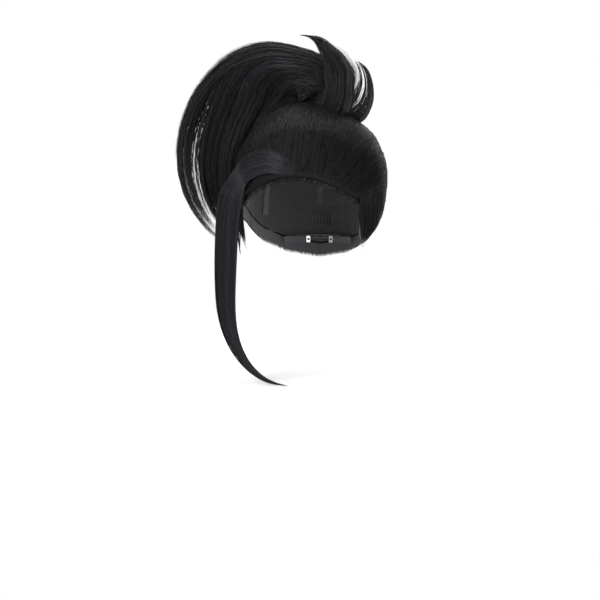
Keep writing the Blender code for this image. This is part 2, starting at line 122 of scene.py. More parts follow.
def catmull(points, count):
    """Evenly spaced points on a Catmull-Rom curve; points is (..., knots, 3)."""
    points = np.asarray(points, float)
    first = 2 * points[..., :1, :] - points[..., 1:2, :]
    last = 2 * points[..., -1:, :] - points[..., -2:-1, :]
    knots = np.concatenate([first, points, last], axis=-2)
    segments = points.shape[-2] - 1
    fine = KNOT_STEPS * segments
    t = np.linspace(0, segments - 1e-9, fine + 1)
    index = np.floor(t).astype(int)
    f = (t - index)[:, None]
    a, b, c, d = (knots[..., index + k, :] for k in range(4))
    curve = 0.5 * (2 * b + (c - a) * f + (2 * a - 5 * b + 4 * c - d) * f ** 2
                   + (3 * b - a - 3 * c + d) * f ** 3)
    return resample(curve, count)


def running_total(lengths):
    """Length from the start of each row, beginning with 0."""
    return np.concatenate([np.zeros((len(lengths), 1)), np.cumsum(lengths, axis=1)], axis=1)


def spread_points(curves, measure, count):
    """Count points on each curve, evenly spaced in a measure that grows along it."""
    wanted = np.linspace(0, 1, count)
    out = np.empty((len(curves), count, 3))
    for row, curve in enumerate(curves):
        share = measure[row] / measure[row, -1]
        for axis in range(3):
            out[row, :, axis] = np.interp(wanted, share, curve[:, axis])
    return out


def resample(curve, count):
    """Even spacing along one curve (k, 3), or along each of many (n, k, 3)."""
    if curve.ndim == 2:
        return resample(curve[None], count)[0]
    steps = np.linalg.norm(np.diff(curve, axis=1), axis=2)
    return spread_points(curve, running_total(steps), count)


def points_at(curve, places, share):
    """Points on one curve (k, 3) at some shares; places holds the shares of its own points."""
    return np.stack([np.interp(share, places, curve[:, axis]) for axis in range(3)], axis=1)


# ---- the head's shape

def direction(turn, drop):
    t = np.radians(turn)
    d = np.radians(drop)
    return np.stack([np.sin(d) * np.sin(t), -np.sin(d) * np.cos(t), np.cos(d) + 0 * t], axis=-1)


def on_head(way, lift):
    normal = unit(way / HEAD_RADII)
    return HEAD_CENTRE + HEAD_RADII * way + normal * np.asarray(lift)[..., None]


def on_hair(way):
    return HAIR_CENTRE + HAIR_RADII * way


def fold(turn):
    return np.abs((np.asarray(turn, float) + 180) % 360 - 180)


def cap_edge(turn):
    return np.interp(fold(turn), CAP_EDGE_TURNS, CAP_EDGE_DROPS)


def turn_of(way):
    return np.degrees(np.arctan2(way[..., 0], -way[..., 1]))


def angle_between(way, other):
    return np.arccos(np.clip(way @ other, -1, 1))


# Direction from the head's centre to the post.
ANCHOR_FLAT = POST_CENTRE[:2] / HEAD_RADII[:2]
ANCHOR_WAY = np.array([*ANCHOR_FLAT, math.sqrt(1 - ANCHOR_FLAT @ ANCHOR_FLAT)])


def combed_way(turn, part):
    """Direction on a combed line, from the cap's edge (0) to the ring round the post (1)."""
    start = direction(turn, cap_edge(turn))
    angle = angle_between(start, ANCHOR_WAY)[..., None]
    share = np.asarray(part)[..., None] * (1 - math.radians(ANCHOR_OPENING) / angle)
    joined = start * np.sin((1 - share) * angle) + ANCHOR_WAY * np.sin(share * angle)
    return joined / np.sin(angle)


def fullness(turn, part):
    """How far the base hair's outside stands from its inside towards the full ellipsoid."""
    at_edge = mix(0.12, 0.55, smoothstep(40, 85, fold(turn)))
    swept = smoothstep(45, 85, turn) * (1 - smoothstep(125, 165, turn))
    swept = swept * (1 - smoothstep(0.45, 0.8, part))
    return mix(at_edge, 1.0, smoothstep(0.0, 0.32, part)) * (1 + SWEPT_VOLUME * swept)


def hair_layer(way, turn, part, share=1.0):
    """Point through the thickness of the base hair: share 0 is its inside, 1 its outside."""
    inner = on_head(way, HAIR_INNER_LIFT)
    full = np.asarray(fullness(turn, part) * share)[..., None]
    return inner + (on_hair(way) - inner) * full


def lifted(surface, lift):
    """Points moved straight out of the base hair."""
    return surface + unit(surface - HAIR_CENTRE) * np.asarray(lift)[..., None]


def hair_surface(turn, part, lift):
    """Point on the outside of the base hair, with a lift further out."""
    return lifted(hair_layer(combed_way(turn, part), turn, part), lift)


# ---- meshes

# Way that the flat of a free strand faces: towards the front, slightly up and to the side.
FACING_FRONT = np.array([0.13, -0.97, 0.2])


def strand_arrays(curves, widths, facing):
    """Closed three-sided prisms along curves, each ending in one point."""
    count, steps, _ = curves.shape
    tangents = unit(np.gradient(curves, axis=1))
    across = unit(np.cross(tangents, facing))
    deep = np.cross(across, tangents)
    corners = []
    for angle in (90, 210, 330):
        a = math.radians(angle)
        outward = across * math.cos(a) + deep * math.sin(a)
        corners.append(curves + widths[..., None] * outward)
    rings = np.stack(corners, axis=2)
    body = rings[:, :-1].reshape(count, -1, 3)
    tips = curves[:, -1:, :]
    vertices = np.concatenate([body, tips], axis=1)
    per = 3 * (steps - 1) + 1
    quads = []
    for ring in range(steps - 2):
        for side in range(3):
            low = ring * 3 + side
            next_side = ring * 3 + (side + 1) % 3
            quads.append((low, next_side, next_side + 3, low + 3))
    last = 3 * (steps - 2)
    triangles = [(2, 1, 0)]
    for side in range(3):
        triangles.append((last + side, last + (side + 1) % 3, per - 1))
    return vertices, np.array(quads), np.array(triangles), per


def strands(name, curves, widths, material, shade, facing=None):
    """One piece from many strands, with a UV column and a shade for each."""
    count, steps, _ = curves.shape
    if facing is None:
        facing = np.broadcast_to(FACING_FRONT, curves.shape)
    vertices, quads, triangles, per = strand_arrays(curves, widths, facing)
    offsets = (np.arange(count) * per)[:, None, None]
    all_quads = (quads[None] + offsets).reshape(-1, 4)
    all_triangles = (triangles[None] + offsets).reshape(-1, 3)
    loops = np.concatenate([all_quads.ravel(), all_triangles.ravel()])
    sizes = np.concatenate([np.full(len(all_quads), 4), np.full(len(all_triangles), 3)])
    column = (np.arange(count) + 0.5) / count
    v = np.concatenate([np.repeat(np.linspace(0.01, 0.97, steps - 1), 3), [0.99]])
    side = np.concatenate([np.tile([-0.3, 0.0, 0.3], steps - 1), [0.0]]) / count
    uvs = np.stack([column[:, None] + side[None], np.broadcast_to(v, (count, per))], axis=-1)
    vertices = vertices.reshape(-1, 3)
    return build_mesh(name, vertices, loops, sizes, material, uvs.reshape(-1, 2), np.repeat(shade, per))


def build_mesh(name, vertices, loops, sizes, material, uvs, shades=None):
    """Object from corner lists, with UVs and, for fibres, a shade for each vertex."""
    mesh = bpy.data.meshes.new(name)
    mesh.vertices.add(len(vertices))
    mesh.vertices.foreach_set("co", vertices.astype(np.float32).ravel())
    mesh.loops.add(len(loops))
    mesh.loops.foreach_set("vertex_index", loops.astype(np.int32))
    mesh.polygons.add(len(sizes))
    starts = np.concatenate([[0], np.cumsum(sizes)[:-1]])
    mesh.polygons.foreach_set("loop_start", starts.astype(np.int32))
    mesh.polygons.foreach_set("loop_total", sizes.astype(np.int32))
    mesh.update(calc_edges=True)
    mesh.shade_smooth()
    layer = mesh.uv_layers.new(name="OFBake")
    layer.data.foreach_set("uv", uvs[loops].astype(np.float32).ravel())
    if shades is not None:
        attribute = mesh.attributes.new("shade", "FLOAT", "POINT")
        attribute.data.foreach_set("value", shades.astype(np.float32))
    mesh.materials.append(material)
    piece = bpy.data.objects.new(name, mesh)
    bpy.context.scene.collection.objects.link(piece)
    return piece


def slab(name, inner, outer, material):
    """Closed slab between two grids of points (rows, columns, 3), with its four sides."""
    rows, columns, _ = inner.shape
    vertices = np.concatenate([inner.reshape(-1, 3), outer.reshape(-1, 3)])
    grid = np.arange(rows * columns).reshape(rows, columns)
    a, b, c, d = grid[:-1, :-1], grid[:-1, 1:], grid[1:, 1:], grid[1:, :-1]
    inside = np.stack([a, d, c, b], axis=-1).reshape(-1, 4)
    top = rows * columns
    outside = np.stack([a, b, c, d], axis=-1).reshape(-1, 4) + top
    rim = np.concatenate([grid[0, :], grid[1:, -1], grid[-1, -2::-1], grid[-2:0:-1, 0]])
    after = np.roll(rim, -1)
    walls = np.stack([rim, after, after + top, rim + top], axis=-1)
    faces = np.concatenate([inside, outside, walls])
    u, v = np.meshgrid(np.linspace(0.02, 0.98, columns), np.linspace(0.02, 0.98, rows))
    flat = np.stack([u, v], axis=-1).reshape(-1, 2)
    uvs = np.concatenate([flat * [0.5, 1.0], flat * [0.5, 1.0] + [0.5, 0.0]])
    return build_mesh(name, vertices, faces.ravel(), np.full(len(faces), 4), material, uvs)


# ---- materials

def node_material(name):
    material = bpy.data.materials.new(name)
    material.use_nodes = True
    return material, material.node_tree, material.node_tree.nodes["Principled BSDF"]


def feed(tree, node, inputs):
    """Sets inputs of a node by name or number, each to a value or to another node's output."""
    for key, value in inputs.items():
        if isinstance(value, bpy.types.NodeSocket):
            tree.links.new(value, node.inputs[key])
        else:
            node.inputs[key].default_value = value


def add_node(tree, kind, inputs, output=0, **settings):
    """New shader node with its inputs and settings; gives one of its outputs."""
    node = tree.nodes.new("ShaderNode" + kind)
    for setting, value in settings.items():
        setattr(node, setting, value)
    feed(tree, node, inputs)
    return node.outputs[output]


def add_ramp(tree, place, dark, light, start=0.0):
    """Colour between two colours at a place from start to 1."""
    ramp = tree.nodes.new("ShaderNodeValToRGB")
    first, last = ramp.color_ramp.elements
    first.position = start
    first.color = (*dark, 1)
    last.color = (*light, 1)
    feed(tree, ramp, {"Fac": place})
    return ramp.outputs["Color"]


def multiply_add(tree, value, factor, addend):
    return add_node(tree, "Math", {0: value, 1: factor, 2: addend}, operation="MULTIPLY_ADD")


def add_noise(tree, place, scale, detail=2.0):
    return add_node(tree, "TexNoise", {"Vector": place, "Scale": scale, "Detail": detail}, "Fac")


def scaled_colour(colour, factor):
    return tuple(min(channel * factor, 1) for channel in colour)


def hair_material(name, dark, light, roughness, gloss=0.14):
    """Glossy synthetic fibre: a tone for each strand, and fine variation along it."""
    material, tree, shader = node_material(name)
    place = add_node(tree, "TexCoord", {}, "Object")
    noise = add_noise(tree, place, 420.0)
    tone = multiply_add(tree, add_node(tree, "Attribute", {}, "Fac", attribute_name="shade"), 0.9, -0.15)
    limits = {"Value": noise, "To Min": roughness - 0.06, "To Max": roughness + 0.12}
    feed(tree, shader, {
        "Base Color": add_ramp(tree, multiply_add(tree, noise, 0.45, tone), dark, light),
        "Roughness": add_node(tree, "MapRange", limits),
        "Specular IOR Level": gloss,
    })
    return material


def fabric_material(name, colour, roughness, scale, bump, axes=("X", "Z")):
    """Woven, knitted or stitched cloth, from bands of thread across one or two axes."""
    material, tree, shader = node_material(name)
    place = add_node(tree, "TexCoord", {}, "Object")
    bands = {"Vector": place, "Scale": scale, "Distortion": 0.6, "Detail": 1.0}
    waves = [add_node(tree, "TexWave", bands, "Fac", bands_direction=axis) for axis in axes]
    height = waves[0]
    if len(waves) == 2:
        height = add_node(tree, "Math", {0: waves[0], 1: waves[1]}, operation="MAXIMUM")
    mixed = multiply_add(tree, add_noise(tree, place, 60), 0.35, height)
    dark, light = scaled_colour(colour, 0.45), scaled_colour(colour, 1.35)
    relief = {"Height": height, "Strength": bump, "Distance": 0.4 * MM}
    feed(tree, shader, {
        "Base Color": add_ramp(tree, mixed, dark, light, 0.2),
        "Roughness": roughness,
        "Sheen Weight": 0.2,
        "Normal": add_node(tree, "Bump", relief),
    })
    return material


def hard_material(name, colour, roughness, metallic):
    """Metal or moulded plastic with faint mottling, fine relief and uneven gloss."""
    material, tree, shader = node_material(name)
    noise = add_noise(tree, add_node(tree, "TexCoord", {}, "Object"), 180.0, 5.0)
    dark, light = scaled_colour(colour, 0.88), scaled_colour(colour, 1.12)
    limits = {"Value": noise, "To Min": max(roughness - 0.08, 0.05), "To Max": roughness + 0.12}
    relief = {"Height": noise, "Strength": 0.15, "Distance": 0.2 * MM}
    feed(tree, shader, {
        "Base Color": add_ramp(tree, noise, dark, light),
        "Roughness": add_node(tree, "MapRange", limits),
        "Metallic": metallic,
        "Normal": add_node(tree, "Bump", relief),
    })
    return material


HAIR = hair_material("hair_fibre", (0.0015, 0.0015, 0.0018), (0.013, 0.0125, 0.0148), 0.42)
# Lighter copy of the fibre for the ponytail and its pointed sheets: painted light, where the loose hair
# catches more light than the base hair.
LOOSE_HAIR_PAINTED_LIGHT = hair_material("loose_hair_painted_light", (0.003, 0.003, 0.0038), (0.019, 0.018, 0.023), 0.4, 0.4)
# Lighter copy of the fibre for the side lock: painted light, where the lock faces the key light.
LOCK_HAIR_PAINTED_LIGHT = hair_material("lock_hair_painted_light", (0.002, 0.002, 0.0026), (0.021, 0.02, 0.026), 0.42, 0.24)
# Darker copy of the fibre for the layer under the strands: painted shade in the depth of the hair.
HAIR_BED_PAINTED_SHADE = hair_material("hair_bed_painted_shade", (0.002, 0.002, 0.0025), (0.006, 0.006, 0.007), 0.6)
NET = fabric_material("cap_net", (0.022, 0.022, 0.024), 0.8, 150, 0.8)
ELASTIC = fabric_material("elastic", (0.045, 0.045, 0.05), 0.7, 700, 0.8)
WEFT = fabric_material("weft_tape", (0.03, 0.03, 0.033), 0.7, 900, 0.8, axes=("Z",))
FILM = fabric_material("front_film", (0.05, 0.038, 0.03), 0.6, 900, 0.3)
STEEL = hard_material("steel", (0.62, 0.62, 0.63), 0.28, 1.0)
BLACK_STEEL = hard_material("black_steel", (0.05, 0.05, 0.05), 0.35, 0.6)
PLASTIC = hard_material("clip_plastic", (0.025, 0.025, 0.03), 0.32, 0.0)
SLOT_MATERIALS = {
    "hair_fibre": HAIR,
    "cap_net": NET,
    "elastic_fabric": ELASTIC,
    "weft_tape": WEFT,
    "front_film": FILM,
    "steel": STEEL,
    "black_steel": BLACK_STEEL,
    "clip_plastic": PLASTIC,
}


# ---- locks, read from the frame

# Points of a CAD mesh closer than this are the same corner.
WELD_SIZE = 0.002 * MM
# A CAD lock has this many sides, which all meet at its tip.
LOCK_SIDES = 8


def lock_rings(node):
    """Rings of a CAD lock from its tip to its root, as lists of points, by steps along its edges."""
    mesh = frame["nodes"][node].data
    points = np.array([v.co for v in mesh.vertices])
    keys = [tuple(k) for k in np.round(points / WELD_SIZE).astype(int)]
    index_of = {}
    for key in keys:
        index_of.setdefault(key, len(index_of))
    spots = np.zeros((len(index_of), 3))
    for key, point in zip(keys, points):
        spots[index_of[key]] = point
    neighbours = [set() for _ in index_of]
    for edge in mesh.edges:
        a, b = (index_of[keys[i]] for i in edge.vertices)
        if a != b:
            neighbours[a].add(b)
            neighbours[b].add(a)

    def mean_length(index):
        return np.mean([np.linalg.norm(spots[index] - spots[j]) for j in neighbours[index]])

    ends = [i for i, near in enumerate(neighbours) if len(near) == LOCK_SIDES and is_apex(i, neighbours)]
    tip = max(ends, key=mean_length)
    rings, seen, ring = [], {tip}, [tip]
    while ring:
        rings.append(spots[ring])
        ring = sorted({j for i in ring for j in neighbours[i]} - seen)
        seen.update(ring)
    return rings


def is_apex(index, neighbours):
    """True if a point's neighbours form one closed ring round it."""
    around = neighbours[index]
    return all(len(neighbours[j] & around) == 2 for j in around)


def side_and_deep(centres):
    """Side and depth directions along a lock; its depth lies as near as it can to +Y."""
    ahead = unit(np.gradient(centres, axis=0))
    deep = unit(np.array([0, 1, 0]) - ahead * ahead[:, 1:2])
    return np.cross(deep, ahead), deep


def lock_path(node):
    """Centreline of a CAD lock from root to tip, with its half width and half depth."""
    rings = lock_rings(node)[::-1]
    centres = np.array([ring.mean(axis=0) for ring in rings])
    across, deep = side_and_deep(centres)
    width = np.array([np.abs((ring - c) @ a).max() for ring, c, a in zip(rings, centres, across)])
    depth = np.array([np.abs((ring - c) @ d).max() for ring, c, d in zip(rings, centres, deep)])
    return centres, width, depth


# ---- hair: shared steps

# Length, in metres, that one radian of bend counts for when a curve is thinned.
BEND_WEIGHT = 0.02


def follow_up(curves, turn_weight, count):
    """Thins fine curves to count points, closer together where they bend."""
    ahead = np.diff(curves, axis=1)
    lengths = np.linalg.norm(ahead, axis=2)
    way = unit(ahead)
    bend = np.arccos(np.clip((way[:, 1:] * way[:, :-1]).sum(axis=2), -1, 1))
    bend = np.concatenate([bend[:, :1], bend], axis=1)
    return spread_points(curves, running_total(lengths + turn_weight * bend), count)


def relax(curves, rounds):
    """Smooths curves along their length, with both ends held."""
    for _ in range(rounds):
        middle = (curves[:, :-2] + 2 * curves[:, 1:-1] + curves[:, 2:]) / 4
        curves = np.concatenate([curves[:, :1], middle, curves[:, -1:]], axis=1)
    return curves


def outside_dome(points, radius):
    """Pushes points straight out of a ball round the ponytail's net."""
    away = points - DOME_CENTRE
    far = np.linalg.norm(away, axis=-1, keepdims=True)
    return DOME_CENTRE + away * np.maximum(1.0, radius / np.maximum(far, 1e-6))


def outside_hair(points, lift):
    """Pushes points straight out of the base hair's ellipsoid, grown by a lift."""
    away = points - HAIR_CENTRE
    size = np.linalg.norm(away / (HAIR_RADII + lift), axis=-1, keepdims=True)
    return HAIR_CENTRE + away * np.maximum(1.0, 1.0 / np.maximum(size, 1e-6))


def taper(steps, half_width, start=0.75, thin_from=0.62, end=0.25):
    """Half widths along a strand: a thinner root, a full body and a fine tip."""
    t = np.linspace(0, 1, steps)
    body = mix(start, 1.0, smoothstep(0.0, 0.08, t))
    return half_width * body * mix(1.0, end, smoothstep(thin_from, 1.0, t))


def strand_widths(rng, sizes, curves, **form):
    """Half widths of every strand, whose fullest is drawn between two sizes in millimetres."""
    count, steps, _ = curves.shape
    half = rng.uniform(*sizes, count) * MM
    return np.array([taper(steps, h, **form) for h in half])


def clump_shade(rng, brightest, count):
    """Shades of the strands of one clump: a tone of its own, with a few lighter strands."""
    return np.clip(rng.uniform(0, brightest) + rng.random(count) ** 2 * 0.5 - 0.1, 0, 1)


def finish_hair(piece, body, node=None):
    """Puts a piece of hair on its body and hides the CAD node it stands for."""
    if body:
        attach(piece, body)
    if node:
        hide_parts(node)


# ---- ponytail

# Middle of the swirl, and its inner, middle and outer edges in millimetres by angle. The angle
# runs from the wearer's left, over the top, to the wearer's right and down.
SWIRL_CENTRE = DOME_CENTRE + np.array([-16, 0, -19]) * MM
SWIRL_TURNS = (-30, 0, 20, 45, 61, 79, 95, 112, 130, 143, 160, 180, 200, 215, 228, 245)
SWIRL_OUTER = (46, 52, 54, 56, 58, 60, 64, 75, 92, 106, 128, 156, 182, 199, 205, 207)
SWIRL_MIDDLE = (34, 38, 41, 42, 41, 41, 42, 47, 57, 66, 83, 107, 136, 160, 180, 196)
SWIRL_INNER = (12, 13, 14, 15, 15, 15, 15, 15, 15, 16, 19, 28, 50, 82, 122, 170)
# Number of clumps of each kind.
DENSE_CLUMPS = 150
BAND_CLUMPS = 30
BAND_LONG_CLUMPS = 22
CROSSING_CLUMPS = 64
FLYAWAY_CLUMPS = 30
EYE_CLUMPS = 40
# A root stays above this depth under the dome's middle, where the net ends.
ROOT_DEPTH = 19 * MM
# Sideways lean of the fall with depth, so that its layers line up from the front.
FALL_LEAN = -0.176
# Depth in millimetres of the fall's middle, and its half depth over the top and on the fall.
FALL_DEPTH = 28
TOP_HALF_DEPTH = 29
FALL_HALF_DEPTH = 26


def swirl_radius(nest, turn):
    """Distance from the swirl's middle: nest 0 is the innermost hair, 1 the outermost."""
    inner = np.interp(turn, SWIRL_TURNS, SWIRL_INNER)
    middle = np.interp(turn, SWIRL_TURNS, SWIRL_MIDDLE)
    outer = np.interp(turn, SWIRL_TURNS, SWIRL_OUTER)
    low = mix(inner, middle, nest * 2)
    high = mix(middle, outer, nest * 2 - 1)
    return np.where(nest < 0.5, low, high) * MM


def swirl_paths(nest, fall_nest, layer, end, root_way):
    """Fine paths that leave the net dome, turn over to the wearer's right and fall."""
    t = np.linspace(0, 1, 80)[None]
    root = DOME_CENTRE + root_way * DOME_RADIUS
    root[:, 2] = np.maximum(root[:, 2], DOME_CENTRE[2] - ROOT_DEPTH)
    from_middle = root - SWIRL_CENTRE
    root_turn = np.degrees(np.arctan2(from_middle[:, 2], from_middle[:, 0]))[:, None]
    root_far = np.hypot(from_middle[:, 2], from_middle[:, 0])[:, None]
    wide = smoothstep(0.4, 1.0, nest)[:, None]
    dip = 26 * wide * np.sin(np.pi * np.clip(t / 0.16, 0, 1))
    turn = root_turn + (end[:, None] - root_turn) * t ** mix(1.0, 1.3, wide) - dip
    now = mix(nest[:, None], fall_nest[:, None], smoothstep(128, 192, turn))
    far = swirl_radius(now, turn)
    far = mix(root_far, far, smoothstep(0.0, mix(0.30, 0.13, wide), t))
    girth = np.sqrt(1 - 0.72 * np.clip(nest, 0, 1) ** 2)[:, None]
    reach = layer[:, None] * mix(1.0, girth, mix(1.0, 0.45, smoothstep(120, 200, turn)))
    on_fall = FALL_DEPTH + FALL_HALF_DEPTH * reach
    depth = mix(TOP_HALF_DEPTH * reach, on_fall, smoothstep(95, 200, turn)) * MM
    depth = mix(from_middle[:, 1:2], depth, smoothstep(0.0, 0.22, t))
    angle = np.radians(turn)
    lean = FALL_LEAN * (depth - FALL_DEPTH * MM) * smoothstep(140, 190, turn)
    points = np.stack([far * np.cos(angle) + lean, depth + 0 * angle, far * np.sin(angle)], axis=-1)
    return SWIRL_CENTRE + points


def swirl_clumps(rng):
    """Every clump of the ponytail: nest at the top and on the fall, layer, end, strands, spread."""
    rows = []
    for index in range(DENSE_CLUMPS):
        nest = (index + rng.random()) / DENSE_CLUMPS
        fall = 0.63 * nest ** 1.15 + rng.normal(0, 0.02)
        end = rng.uniform(224, 243)
        rows.append((nest, fall, rng.uniform(-1, 1), end, 34, 0.05))
    # Two bands outside the lighter gap near the outer edge.
    for index in range(BAND_CLUMPS):
        fall = rng.normal(0.955, 0.03) if index % 2 else rng.normal(0.815, 0.025)
        nest = rng.uniform(0.78, 1.0)
        end = rng.uniform(226, 244) if index < BAND_LONG_CLUMPS else rng.uniform(175, 215)
        rows.append((nest, fall, rng.uniform(-0.9, 0.9), end, 20, 0.022))
    # Thin clumps that cross the gap.
    for _ in range(CROSSING_CLUMPS):
        fall = rng.uniform(0.6, 0.98)
        nest = np.clip(fall - rng.uniform(-0.12, 0.3), 0.3, 1.0)
        rows.append((nest, fall, rng.uniform(-1, 1), rng.uniform(180, 238), 5, 0.016))
    # Loose strands along the outer edge.
    for _ in range(FLYAWAY_CLUMPS):
        nest, fall = rng.uniform(0.9, 1.06), rng.uniform(0.85, 0.99)
        rows.append((nest, fall, rng.uniform(-1, 0.8), rng.uniform(122, 200), 5, 0.02))
    # Tight turns in the front of the swirl's middle.
    for _ in range(EYE_CLUMPS):
        nest = rng.uniform(-0.3, 0.16)
        rows.append((nest, 0.1 * rng.random(), rng.uniform(-1.0, -0.4), rng.uniform(150, 236), 24, 0.05))
    return rows


def swirl_roots(rng, nest, layer):
    """Directions from the net dome's middle in which strands leave it; many leave near its rim."""
    count = len(nest)
    across = np.radians(mix(200, -42, np.clip(nest, 0, 1) ** 0.8) + rng.normal(0, 26, count))
    across = np.clip(across, math.radians(-48), math.radians(222))
    side = np.clip(layer, -0.98, 0.98) * 0.95
    from_rim = rng.random(count) < 0.45 + 0.4 * (np.abs(layer) > 0.6)
    across = np.where(from_rim, np.radians(rng.uniform(-100, -20, count)), across)
    side = np.where(from_rim, side * rng.uniform(0.55, 0.9, count), side)
    round_way = np.sqrt(1 - side ** 2)
    return np.stack([np.cos(across) * round_way, side, np.sin(across) * round_way], axis=-1)


def swirl_waves(rng, paths, t):
    """Adds a slow wave of its own to each strand, and a sideways sway to the whole clump."""
    count = len(paths)
    wobble = 2.0 * MM * smoothstep(0.05, 0.5, t)
    for axis, size in enumerate((0.5, 1.0, 0.5)):
        phase = rng.uniform(0, 2 * np.pi, (count, 1))
        rate = rng.uniform(0.6, 1.8, (count, 1))
        wave = np.sin(rate * t * 2 * np.pi + phase)
        paths[..., axis] += wave * wobble * size
    sway = np.sin(1.4 * t * 2 * np.pi + rng.uniform(0, 6.28)) * smoothstep(0.2, 0.7, t)
    paths[..., 1] += 2.5 * MM * sway


def build_swirl():
    rng = np.random.default_rng(41)
    parts = {}
    for nest, fall, layer, end, count, spread in swirl_clumps(rng):
        nests = np.clip(nest + rng.normal(0, spread, count), -0.33, 1.07)
        falls = np.clip(fall + rng.normal(0, spread * 0.7, count), -0.06, 1.07)
        layers = layer + rng.normal(0, 0.16, count)
        ends = end + rng.normal(0, 3.0, count) - rng.exponential(5.0, count)
        paths = swirl_paths(nests, falls, layers, ends, swirl_roots(rng, nests, layers))
        guide = paths.mean(axis=0, keepdims=True)
        t = np.linspace(0, 1, paths.shape[1])[None, :, None]
        paths = mix(paths, guide, 0.74 * smoothstep(0.25, 1.0, t))
        swirl_waves(rng, paths, t[..., 0])
        lift = rng.uniform(0.4, 4.5, (count, 1, 1)) * MM
        paths = outside_hair(paths, 1.4 * MM)
        paths = relax(outside_dome(paths, DOME_RADIUS + lift * smoothstep(0.0, 0.12, t)), 6)
        paths = outside_hair(outside_dome(paths, DOME_RADIUS + 0.25 * MM), 0.8 * MM)
        level = "outer" if nest > 0.62 else "middle" if nest > 0.3 else "inner"
        depth_name = "front" if layer < -0.33 else "middle" if layer < 0.33 else "back"
        shade = clump_shade(rng, 0.85, count)
        parts.setdefault((level, depth_name), []).append((follow_up(paths, 0.025, 22), shade))
    for (level, depth_name), clumps in sorted(parts.items()):
        curves = np.concatenate([clump[0] for clump in clumps])
        shade = np.concatenate([clump[1] for clump in clumps])
        widths = strand_widths(rng, (0.24, 0.38), curves)
        node = "%s_fall_%s" % (level, depth_name)
        piece = strands(node + "_strands", curves, widths, LOOSE_HAIR_PAINTED_LIGHT, shade)
        finish_hair(piece, "ponytail", node)


build_swirl()


# ---- base hair

BASE_SECTORS = (
    ("front_hair", -FRONT_HALF_TURN, FRONT_HALF_TURN),
    ("side_hair_left", FRONT_HALF_TURN, BACK_START_TURN),
    ("side_hair_right", -BACK_START_TURN, -FRONT_HALF_TURN),
    ("back_hair", BACK_START_TURN, 360 - BACK_START_TURN),
)
BED_COLUMNS_PER_DEGREE = 2.4
# The hair is combed towards this point at the back, before it turns up to the ponytail.
BACK_POLE = direction(180.0, 97.0)
STRANDS_PER_CLUMP = 5
# Strands are combed in this many steps, and kept as this many points.
COMB_STEPS = 36
BASE_POINTS = 13
# A sector wider than this, in degrees, is made as two pieces.
WIDEST_PIECE = 90


def build_base_bed(node, low, high):
    """Closed layer under the fibres, with fine combed ridges, coloured darker than the fibres as painted
    shade in the depth of the hair.
    """
    turns = np.linspace(low + 0.4, high - 0.4, int((high - low) * BED_COLUMNS_PER_DEGREE))
    turn, part = np.meshgrid(turns, np.linspace(0.012, 1.0, 40))
    ridge = 0.035 * np.sin(turn * 2.6) + 0.02 * np.sin(turn * 6.1 + part * 3)
    way = combed_way(turn, part)
    inner = hair_layer(way, turn, part, 0.05)
    outer = hair_layer(way, turn, part, 0.80 + ridge)
    finish_hair(slab(node + "_bed", inner, outer, HAIR_BED_PAINTED_SHADE), "cap")


def comb_flow(way):
    """Direction the base hair is combed in: back round the sides, then up to the ponytail."""
    up = unit(ANCHOR_WAY - (way @ ANCHOR_WAY)[..., None] * way)
    back = unit(BACK_POLE - (way @ BACK_POLE)[..., None] * way)
    left = np.degrees(angle_between(way, ANCHOR_WAY))[..., None]
    turn = fold(turn_of(way))
    side = smoothstep(6, 42, turn) * (1 - smoothstep(95, 150, turn))
    weight = 0.82 * side[..., None] * smoothstep(22, 55, left)
    return unit(up * (1 - weight) + back * weight)


def comb(start, length, bend):
    """Paths over the head as directions, from start directions along the flow.

    The length is in degrees, and bend gives the sideways part of each strand's way at a share.
    """
    way = start
    path = [way]
    stride = np.radians(length) / (COMB_STEPS - 1)
    for step in range(COMB_STEPS - 1):
        flow = comb_flow(way)
        across = np.cross(way, flow)
        flow = unit(flow + across * bend(step / (COMB_STEPS - 1))[:, None])
        left = np.degrees(angle_between(way, ANCHOR_WAY))
        go = stride * smoothstep(5.5, 8.0, left)
        way = unit(way + flow * go[:, None])
        path.append(way)
    return np.stack(path, axis=1)


def way_surface(way, lift):
    """Point on the outside of the base hair in a direction, with a lift, and its part."""
    turn = turn_of(way)
    whole = np.degrees(angle_between(direction(turn, cap_edge(turn)), ANCHOR_WAY))
    left = np.degrees(angle_between(way, ANCHOR_WAY))
    part = (whole - left) / (whole - ANCHOR_OPENING)
    return lifted(hair_layer(way, turn, part), lift), part


def base_seeds(rng):
    """Turn and drop of every clump's root, and 1 on the cap's edge or 0 further up."""
    rows = []
    for turn in np.arange(-180, 180, 0.9):
        rows.append((turn + rng.uniform(-0.5, 0.5), cap_edge(turn) + rng.uniform(1.0, 2.0), 1.0))
        rows.append((turn + rng.uniform(-0.7, 0.7), cap_edge(turn) - rng.uniform(0.2, 5.0), 1.0))
    for share in np.linspace(0.12, 0.8, 11):
        spots = int(210 * math.sin(math.radians(95 * (1 - share))) + 12)
        for index in range(spots):
            turn = -180 + 360 * (index + rng.uniform(-0.6, 0.6)) / spots
            drop = cap_edge(turn) * (1 - share) + rng.normal(0, 2.5)
            rows.append((turn, max(drop, 4.0), 0.0))
    return np.array(rows)


